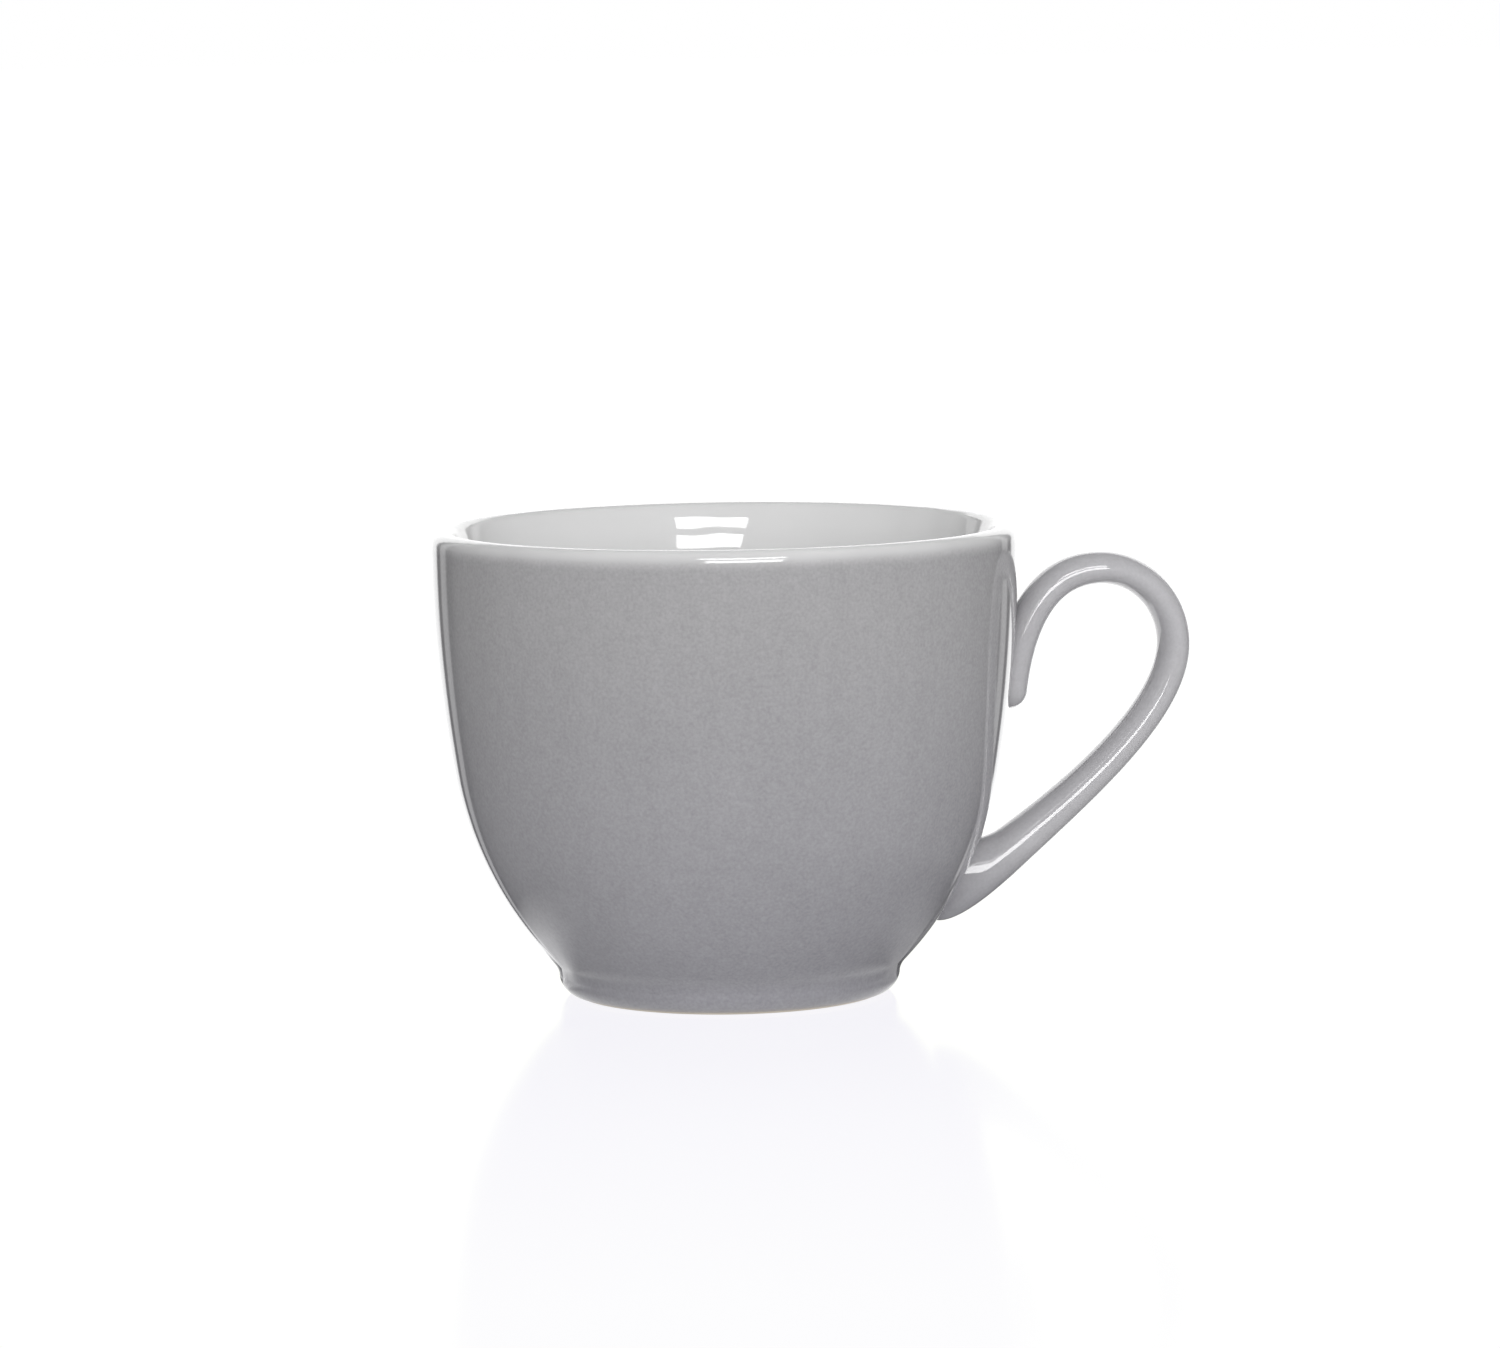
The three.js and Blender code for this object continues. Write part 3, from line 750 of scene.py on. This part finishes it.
class CUP_OT_handle_coat(bpy.types.Operator):
    """Draw a straight oval strap, bend it along the handle's path and work its ends into the wall"""

    bl_idname = "cup.handle_coat"
    bl_label = "Handle coat"

    def path_knots(self, context):
        """Knots of the path in the handle's plane, each with its two handles."""
        sizes = context.scene.cup_handle
        bowl = Bowl(context.scene.cup_bowl)
        rim_height = context.scene.cup_bowl.cup_height
        tail_height = rim_height - sizes.tail_drop
        tail_end = tail_height + sizes.tail_run
        tail = Vector((bowl.wall_radius(tail_height) + sizes.tail_offset, tail_height, 0))
        tail_out = Vector((bowl.wall_radius(tail_end) + sizes.tail_offset, tail_end, 0))
        top = Vector((bowl.rim + sizes.top_reach, rim_height - sizes.top_drop, 0))
        side = Vector((bowl.rim + sizes.side_reach, rim_height - sizes.side_drop, 0))
        root = Vector((bowl.wall_radius(sizes.root_height), sizes.root_height, 0))
        slope = Vector((math.cos(sizes.root_angle), math.sin(sizes.root_angle), 0))
        inwards = slope * sizes.root_depth
        round_out = Vector(((side.x - top.x) * ROUND_CORNER, 0, 0))
        round_up = Vector((0, (top.y - side.y) * ROUND_CORNER, 0))
        knots = [
            (2 * tail - tail_out, tail, tail_out),
            (top - Vector((sizes.top_run, 0, 0)), top, top + round_out),
            (side + round_up, side, side - Vector((0, sizes.side_run, 0))),
            (root + slope * sizes.root_run, root, root - inwards / 3),
            (root - inwards * 2 / 3, root - inwards, root - inwards * 2),
        ]
        return [tuple(point + Vector((AXIS, 0, 0)) for point in knot) for knot in knots]

    def draw_path(self, knots):
        """Path as a flat curve."""
        bpy.ops.object.select_all(action="DESELECT")
        bpy.ops.curve.primitive_bezier_curve_add(location=(0, 0, 0))
        path = bpy.context.object
        path.data.dimensions = "2D"
        path.data.resolution_u = PATH_POINTS
        points = path.data.splines[0].bezier_points
        points.add(len(knots) - len(points))
        for point, (left, middle, right) in zip(points, knots):
            point.handle_left_type = "FREE"
            point.handle_right_type = "FREE"
            point.co = middle
            point.handle_left = left
            point.handle_right = right
        return path

    def lengths(self, knots):
        """Length of each stretch of the path between two knots."""
        found = []
        for (_, start, out), (back, end, _) in zip(knots, knots[1:]):
            line = interpolate_bezier(start, out, back, end, PATH_POINTS)
            found.append(sum((b - a).length for a, b in zip(line, line[1:])))
        return found

    def section(self, sizes, distance, stretches):
        """Half thickness and half width of the strap at a distance from the tail's tip."""
        shoulder, bend, descent, toe = stretches
        whole = sum(stretches)
        from_tail = min(distance / shoulder, 1) ** sizes.tail_taper
        to_root = min(max((distance - shoulder - bend) / descent, 0), 1) ** sizes.root_flare
        tail_left = max(1 - distance / sizes.tail_rounding, 0)
        toe_left = max(1 - (whole - distance) / sizes.root_rounding, 0)
        fullness = math.sqrt(1 - tail_left**2) * math.sqrt(1 - toe_left**2)
        found = []
        for tail, strap, root in (
            (sizes.tail_thickness, sizes.strap_thickness, sizes.root_thickness),
            (sizes.tail_width, sizes.strap_width, sizes.root_width),
        ):
            size = tail + (strap - tail) * from_tail + (root - strap) * to_root
            found.append(size / 2 * fullness)
        return found

    def stations(self, sizes, whole):
        """Distances of the strap's rings, closer together in the rounded tip."""
        rounding = sizes.tail_rounding
        tip = [rounding * (1 - math.cos(math.pi / 2 * i / TIP_RINGS)) for i in range(1, TIP_RINGS)]
        toe = [whole - distance for distance in reversed(tip)]
        middle = whole - 2 * rounding
        even = [rounding + middle * i / STRAP_STATIONS for i in range(STRAP_STATIONS + 1)]
        return tip + even + toe

    def execute(self, context):
        sizes = context.scene.cup_handle
        knots = self.path_knots(context)
        stretches = self.lengths(knots)
        distances = self.stations(sizes, sum(stretches))
        thickness, width = self.section(sizes, distances[0], stretches)
        piece = begin(
            "handle_coat",
            bpy.ops.mesh.primitive_circle_add,
            vertices=SECTION_POINTS,
            radius=thickness,
            fill_type="NGON",
            location=(distances[0], 0, 0),
            rotation=(0, math.pi / 2, 0),
        )
        bpy.ops.transform.resize(value=(1, 1, width / thickness))
        for before, after in zip(distances, distances[1:]):
            next_thickness, next_width = self.section(sizes, after, stretches)
            bpy.ops.mesh.extrude_region_move(TRANSFORM_OT_translate={"value": (after - before, 0, 0)})
            bpy.ops.transform.resize(
                value=(1, next_thickness / thickness, next_width / width), center_override=(after, 0, 0)
            )
            thickness, width = next_thickness, next_width
        close_up(piece)
        path = self.draw_path(knots)
        pick(piece)
        apply_modifier(piece, "CURVE", object=path, deform_axis="POS_X")
        bpy.data.objects.remove(path)
        piece.rotation_euler.x = math.pi / 2
        bpy.ops.object.transform_apply(rotation=True)
        self.work_in(context, piece)
        # The handle's grey is lighter than the bowl's as painted light, and darker towards the lower root as
        # painted shade.
        grey = context.scene.cup_finishes.handle_grey_with_painted_light
        glaze = grey_glaze(context, "glossy_grey_glaze_painted_light_and_shade_on_handle", grey, HANDLE_PAINTED_ROOT_SHADE, HANDLE_GRAIN)
        hand_over(piece, glaze, "grey_glaze", "handle_glaze")
        return {"FINISHED"}

    def work_in(self, context, piece):
        """Fills the notch above the lower root, as wet slip does, and trims the strap inside the wall."""
        sizes = context.scene.cup_handle
        wall = bpy.data.objects["grey_coat"]
        fillet = piece.vertex_groups.new(name=FILLET_GROUP)
        notch = piece.vertex_groups.new(name=NOTCH_GROUP)
        for corner in piece.data.vertices:
            facing_up = max(corner.normal.z, 0) if corner.co.z < NOTCH_TOP else 0
            fillet.add([corner.index], 0, "REPLACE")
            notch.add([corner.index], facing_up, "REPLACE")
        apply_modifier(
            piece,
            "VERTEX_WEIGHT_PROXIMITY",
            vertex_group=FILLET_GROUP,
            target=wall,
            proximity_mode="GEOMETRY",
            proximity_geometry={"FACE"},
            min_dist=sizes.slip_reach,
            max_dist=0,
            falloff_type="SHARP",
            mask_vertex_group=NOTCH_GROUP,
        )
        apply_modifier(piece, "DISPLACE", strength=sizes.slip_swell, mid_level=0, vertex_group=FILLET_GROUP)
        bowl = Bowl(context.scene.cup_bowl)
        profile = bowl.foot_edge(sizes.sunk, 0, 2 * HIDDEN) + bowl.outside_wall(sizes.sunk, 2 * HIDDEN)
        top = Vector((0, profile[-1].y))
        cutter = trace("wall_inside", [Vector((0, 0)), *profile, top])
        turn(cutter)
        pick(piece)
        apply_modifier(piece, "BOOLEAN", object=cutter, operation="DIFFERENCE", solver="EXACT")
        bpy.data.objects.remove(cutter)
        piece.vertex_groups.clear()


class CUP_OT_hidden_clay(bpy.types.Operator):
    """Give the handle's core and the slip joints, which the coats cover, their clay"""

    bl_idname = "cup.hidden_clay"
    bl_label = "Hidden clay"

    def execute(self, context):
        finishes = context.scene.cup_finishes
        clay = material_of("bare_porcelain", bare_clay, "bare_porcelain", finishes.porcelain, PORCELAIN_GRIT)
        slip = material_of("fired_slip", bare_clay, "fired_slip", finishes.slip, SLIP_GRIT)
        for name, material in (("handle", clay), ("upper_slip_joint", slip), ("lower_slip_joint", slip)):
            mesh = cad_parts[name].data
            mesh.materials.clear()
            mesh.materials.append(material)
        return {"FINISHED"}


class CUP_OT_stage(bpy.types.Operator):
    """Set up the table, the light and the camera"""

    bl_idname = "cup.stage"
    bl_label = "Stage"

    def execute(self, context):
        studio = context.scene.cup_studio
        self.table(context, studio)
        self.camera(context, studio)
        self.softbox(context, studio)
        self.room(context, studio)
        context.scene.view_settings.view_transform = "Standard"
        return {"FINISHED"}

    def camera(self, context, studio):
        """Camera at the angle and focal length of the photo."""
        place = Vector((0, -studio.camera_distance, studio.camera_height))
        place = Matrix.Rotation(studio.camera_turn, 3, "Z") @ place + Vector((AXIS, 0, 0))
        heading = studio.camera_turn + studio.camera_pan
        turned = (
            Matrix.Rotation(heading, 3, "Z")
            @ Matrix.Rotation(math.pi / 2 + studio.camera_tilt, 3, "X")
            @ Matrix.Rotation(studio.camera_roll, 3, "Z")
        )
        bpy.ops.object.camera_add(location=place, rotation=turned.to_euler())
        camera = bpy.context.object
        camera.name = "camera"
        camera.data.lens = studio.lens
        camera.data.sensor_width = SENSOR_WIDTH
        camera.data.clip_start = CLIP_START
        camera.data.clip_end = CLIP_END
        context.scene.camera = camera

    def softbox(self, context, studio):
        """Two panes of one window-like softbox above the camera."""
        for name, low, high in PANES:
            middle = math.radians((low + high) / 2)
            height = 2 * studio.softbox_distance * math.tan(math.radians(high - low) / 2)
            for use, level, side in (
                ("light", studio.softbox_light, studio.light_turn),
                ("gleam", studio.softbox_gleam, 0),
            ):
                place = studio.softbox_distance * Vector((0, -math.cos(middle), math.sin(middle)))
                place = Matrix.Rotation(side, 3, "Z") @ place + Vector((AXIS, 0, PANE_AIM))
                facing = (math.pi / 2 - middle, 0, side)
                bpy.ops.object.light_add(type="AREA", location=place, rotation=facing)
                lamp = bpy.context.object
                lamp.name = f"{name}_{use}"
                lamp.data.shape = "RECTANGLE"
                lamp.data.size = studio.softbox_width
                lamp.data.size_y = height
                lamp.data.energy = level * math.pi * studio.softbox_width * height
                lamp.visible_camera = False
                lamp.visible_diffuse = use == "light"
                lamp.visible_glossy = use == "gleam"
                if use == "gleam":
                    self.only_seen_directly(lamp.data)

    def only_seen_directly(self, lamp):
        """Keeps a lamp's mirror image from throwing sparks of light onto other surfaces."""
        tree = empty_tree(lamp)
        scattered = add_node(tree, "LightPath").outputs["Diffuse Depth"]
        direct = add_node(tree, "Math", (scattered, 0.5), operation="LESS_THAN")
        glow = add_node(tree, "Emission", {"Color": (1, 1, 1), "Strength": direct})
        add_node(tree, "OutputLight", {"Surface": glow})

    def table(self, context, studio):
        """Polished table top, white to the camera, lit from below for the cup and zoned for its gloss."""
        bpy.ops.object.select_all(action="DESELECT")
        bpy.ops.mesh.primitive_plane_add(size=TABLE_SIZE)
        table = bpy.context.object
        table.name = "table"
        material, tree = new_material("table_top")
        light = add_node(tree, "LightPath")
        to_camera = light.outputs["Is Camera Ray"]
        to_gloss = light.outputs["Is Glossy Ray"]
        coords = add_node(tree, "TexCoord").outputs["Object"]
        away = add_node(tree, "VectorMath", (coords, (AXIS, 0, 0)), operation="DISTANCE")
        glow = self.table_glow(tree, coords, away, studio)
        seen = add_node(tree, "Math", (glow, to_gloss, to_camera), operation="MULTIPLY_ADD")
        shown = add_node(tree, "Math", (to_gloss, to_camera), operation="ADD")
        shadow = add_node(tree, "MapRange", (away, *SHADOW, SHADOW_TONE, 1.0))
        share = add_node(tree, "Math", (shown, shadow), operation="MULTIPLY")
        fading = add_node(tree, "MapRange", (away, *POLISH, 1.0, POLISH_FAR))
        sheen = add_node(tree, "Math", (to_camera, fading), operation="MULTIPLY")
        mirrored = {"Factor": sheen, "A": (0, 0, 0), "B": MIRROR}
        mirror = add_node(tree, "Mix", mirrored, data_type="RGBA")
        left = {"Factor": sheen, "A": (1, 1, 1), "B": [1 - part for part in MIRROR]}
        rest = add_node(tree, "Mix", left, data_type="RGBA")
        lit = add_node(tree, "BsdfDiffuse", {"Color": context.scene.cup_finishes.table})
        lamp = add_node(tree, "Emission", {"Color": (1, 1, 1), "Strength": studio.table_light})
        pale = add_node(tree, "AddShader", (lit, lamp))
        white = add_node(tree, "Emission", {"Color": rest, "Strength": seen})
        base = add_node(tree, "MixShader", (share, pale, white))
        gloss = add_node(tree, "BsdfGlossy", {"Color": mirror, "Roughness": TABLE_HAZE})
        top = add_node(tree, "AddShader", (base, gloss))
        add_node(tree, "OutputMaterial", {"Surface": top})
        table.data.materials.append(material)

    def table_glow(self, tree, coords, away, studio):
        """How bright the glaze mirrors the table: the lit sweep behind the cup, dark in the contact shadow
        and in the handle's shade, with a pale ring beside the foot and a pale strip under it."""
        back, right = from_camera(tree, coords, (AXIS, 0, 0))
        off_foot = angle_off_back(tree, back, right, FOOT_RADIUS)
        off_wall = angle_off_back(tree, back, right, WALL_RADIUS)
        beside = add_node(tree, "MapRange", (off_foot, *RING_START))
        before = add_node(tree, "MapRange", (off_foot, *RING_END, 1.0, RING_FRONT))
        flank = add_node(tree, "Math", (beside, before), operation="MULTIPLY")
        ring = add_node(tree, "MapRange", (away, *PALE_RING, studio.table_gleam, 0.0))
        ring_shade = add_node(tree, "MapRange", (right, *HANDLE_SIDE, 1.0, SHADED_RING))
        pale = add_node(tree, "Math", (ring, ring_shade), operation="MULTIPLY")
        contact = add_node(tree, "MapRange", (away, *CONTACT, CONTACT_GLOW, 1.0))
        front = add_node(tree, "MapRange", (off_wall, *FRONT))
        clear = add_node(tree, "Math", (contact, front), operation="MAXIMUM")
        sweep = add_node(tree, "Math", (reflected(tree, off_wall), clear), operation="MULTIPLY")
        sweep_shade = add_node(tree, "MapRange", (right, *HANDLE_SIDE, 1.0, SHADED_SWEEP))
        beyond = add_node(tree, "MapRange", (away, *SHADE_END))
        unshaded = add_node(tree, "Math", (sweep_shade, beyond), operation="MAXIMUM")
        behind = add_node(tree, "Math", (sweep, unshaded), operation="MULTIPLY")
        around = add_node(tree, "Math", (flank, pale, behind), operation="MULTIPLY_ADD")
        under = add_node(tree, "MapRange", (away, *UNDER_FOOT, studio.table_gleam, 0.0))
        return add_node(tree, "Math", (around, under), operation="MAXIMUM")

    def room(self, context, studio):
        """White for the camera, a lit back wall for the gloss, and an even pale light for the rest."""
        world = bpy.data.worlds.new("pale_room")
        context.scene.world = world
        tree = empty_tree(world)
        light = add_node(tree, "LightPath")
        coords = add_node(tree, "TexCoord").outputs["Generated"]
        split = add_node(tree, "SeparateXYZ", (coords,))
        low = add_node(tree, "MapRange", (split.outputs["Z"], *WALL_TOP, 1.0, WALL_TOP_GLOW))
        off_back = angle_off_back(tree, *from_camera(tree, coords, (0, 0, 0)), 0)
        glow = add_node(tree, "Math", (reflected(tree, off_back), low), operation="MULTIPLY")
        lit = {"Factor": light.outputs["Is Glossy Ray"], "A": studio.room_light, "B": glow}
        plain = add_node(tree, "Mix", lit, data_type="FLOAT")
        shown = {"Factor": light.outputs["Is Camera Ray"], "A": plain, "B": 1.0}
        seen = add_node(tree, "Mix", shown, data_type="FLOAT")
        sky = add_node(tree, "Background", {"Color": (1, 1, 1), "Strength": seen})
        add_node(tree, "OutputWorld", {"Surface": sky})


def from_camera(tree, coords, middle):
    """How far a place lies behind a middle and to the right of it, as the camera sees them."""
    turned = bpy.context.scene.cup_studio.camera_turn
    away = add_node(tree, "VectorMath", (coords, middle), operation="SUBTRACT")
    ways = ((-math.sin(turned), math.cos(turned), 0), (math.cos(turned), math.sin(turned), 0))
    return [add_node(tree, "VectorMath", (away, way), operation="DOT_PRODUCT") for way in ways]


def angle_off_back(tree, back, right, radius):
    """Angle off the view's far side at which a place lies from the nearer flank of something round."""
    side = add_node(tree, "Math", (right,), operation="ABSOLUTE")
    past = add_node(tree, "Math", (side, radius), operation="SUBTRACT")
    beyond = add_node(tree, "Math", (past, 0.0), operation="MAXIMUM")
    return add_node(tree, "Math", (beyond, back), operation="ARCTAN2")


def reflected(tree, off_back):
    """How bright the set looks in a reflection, by the angle off the view's far side."""
    share = add_node(tree, "Math", (off_back, math.pi), operation="DIVIDE")
    ramp = add_node(tree, "ValToRGB", (share,))
    stops = ramp.color_ramp.elements
    for degrees, brightness in REFLECTED:
        if degrees == 0:
            stop = stops[0]
        elif degrees == 180:
            stop = stops[-1]
        else:
            stop = stops.new(degrees / 180)
        stop.color = (brightness, brightness, brightness, 1)
    gleam = bpy.context.scene.cup_studio.sweep_gleam
    return add_node(tree, "Math", (ramp, gleam), operation="MULTIPLY")


OPERATORS = (
    CUP_OT_bowl,
    CUP_OT_white_coat,
    CUP_OT_grey_coat,
    CUP_OT_underside_coat,
    CUP_OT_handle_coat,
    CUP_OT_hidden_clay,
    CUP_OT_stage,
)
GROUPS = {"cup_bowl": BowlSizes, "cup_handle": HandleSizes, "cup_finishes": Finishes, "cup_studio": Studio}


class CUP_PT_panel(bpy.types.Panel):
    """Sizes, colours and steps of the cup"""

    bl_idname = "CUP_PT_panel"
    bl_label = "Espresso cup"
    bl_space_type = "VIEW_3D"
    bl_region_type = "UI"
    bl_category = "Cup"

    def draw(self, context):
        for operator in OPERATORS:
            self.layout.operator(operator.bl_idname)
        for name, group in GROUPS.items():
            box = self.layout.box()
            for setting in group.__annotations__:
                box.prop(getattr(context.scene, name), setting)


def register():
    for cls in (*GROUPS.values(), *OPERATORS, CUP_PT_panel):
        bpy.utils.register_class(cls)
    for name, group in GROUPS.items():
        setattr(bpy.types.Scene, name, PointerProperty(type=group))


def unregister():
    for name in GROUPS:
        delattr(bpy.types.Scene, name)
    for cls in (CUP_PT_panel, *reversed(OPERATORS), *reversed(GROUPS.values())):
        bpy.utils.unregister_class(cls)


def main():
    register()
    bpy.ops.cup.bowl()
    bpy.ops.cup.white_coat()
    bpy.ops.cup.grey_coat()
    bpy.ops.cup.underside_coat()
    bpy.ops.cup.handle_coat()
    bpy.ops.cup.hidden_clay()
    bpy.ops.cup.stage()


if __name__ == "__main__":
    main()
